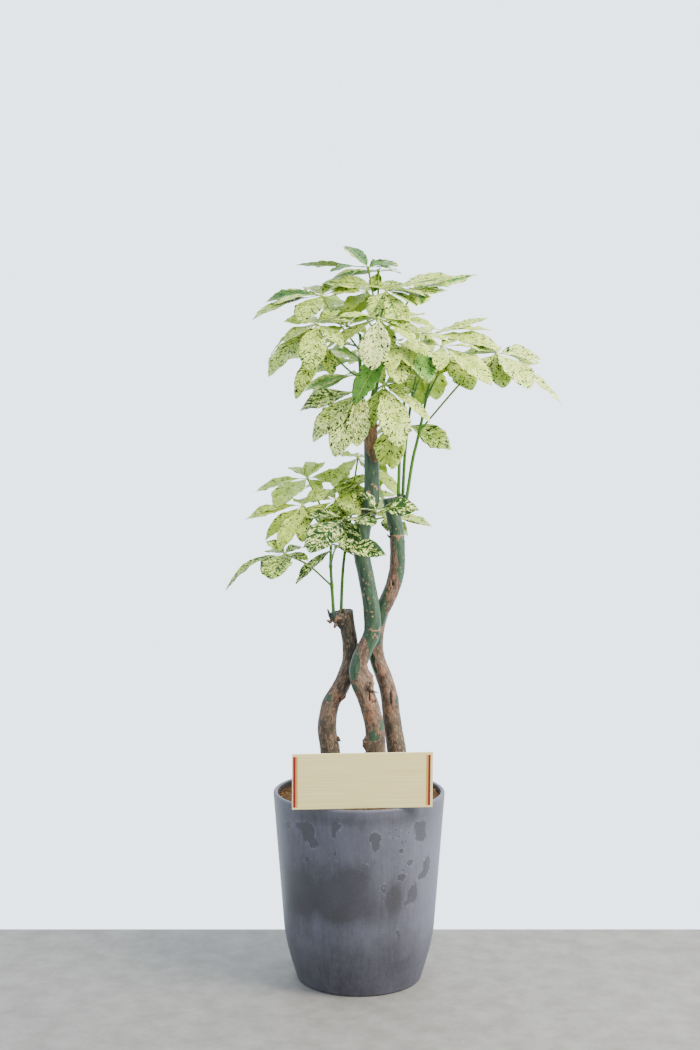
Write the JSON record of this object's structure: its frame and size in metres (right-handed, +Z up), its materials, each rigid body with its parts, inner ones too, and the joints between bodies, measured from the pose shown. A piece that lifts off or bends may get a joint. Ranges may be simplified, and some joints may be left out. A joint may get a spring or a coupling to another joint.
{
  "type": "potted money tree",
  "caption": "Potted money tree: twisted cut trunks in a tall round grey planter, long-stalked variegated hand-shaped leaves, and a bare gift card at the rim.",
  "frame": {"origin": "middle of the pot's foot, on the surface that it stands on", "axes": "+Z up along the tree; -Y is the front, where the card stands; +X is the viewer's right in front of it"},
  "size_m": [0.6461, 0.4082, 1.4536],
  "materials": {
    "pot": "matte",
    "soil": "matte",
    "mulch": "matte",
    "bark": "matte",
    "stem": "satin",
    "leaf": "satin",
    "card": "satin",
    "stake": "matte"
  },
  "bodies": {
    "root": {"pot": "pot", "soil": "soil", "mulch": "mulch", "trunk_left": "bark", "trunk_centre": "bark", "trunk_right": "bark", "stem_left_1": "stem", "stem_left_2": "stem", "stem_right_1": "stem", "stem_right_2": "stem", "stem_right_3": "stem", "stem_centre_1": "stem", "stem_centre_2": "stem", "stem_centre_3": "stem", "leaf_centre_01": "leaf", "leaf_centre_02": "leaf", "leaf_centre_03": "leaf", "leaf_centre_04": "leaf", "leaf_centre_05": "leaf", "leaf_centre_06": "leaf", "leaf_centre_07": "leaf", "leaf_centre_08": "leaf", "leaf_centre_09": "leaf", "leaf_centre_10": "leaf", "leaf_centre_11": "leaf", "leaf_centre_12": "leaf", "leaf_centre_13": "leaf", "leaf_centre_14": "leaf", "leaf_centre_15": "leaf", "leaf_right_01": "leaf", "leaf_right_02": "leaf", "leaf_right_03": "leaf", "leaf_right_04": "leaf", "leaf_right_05": "leaf", "leaf_right_06": "leaf", "leaf_right_07": "leaf", "leaf_right_08": "leaf", "leaf_back_01": "leaf", "leaf_back_02": "leaf", "leaf_back_03": "leaf", "leaf_back_04": "leaf", "leaf_left_01": "leaf", "leaf_left_02": "leaf", "leaf_left_03": "leaf", "leaf_left_04": "leaf", "leaf_left_05": "leaf", "leaf_left_06": "leaf", "leaf_left_07": "leaf", "leaf_left_08": "leaf", "leaf_left_09": "leaf", "leaf_left_10": "leaf", "leaf_left_11": "leaf", "leaf_left_12": "leaf", "card_board": "card", "card_stake": "stake"}
  },
  "joints": []
}
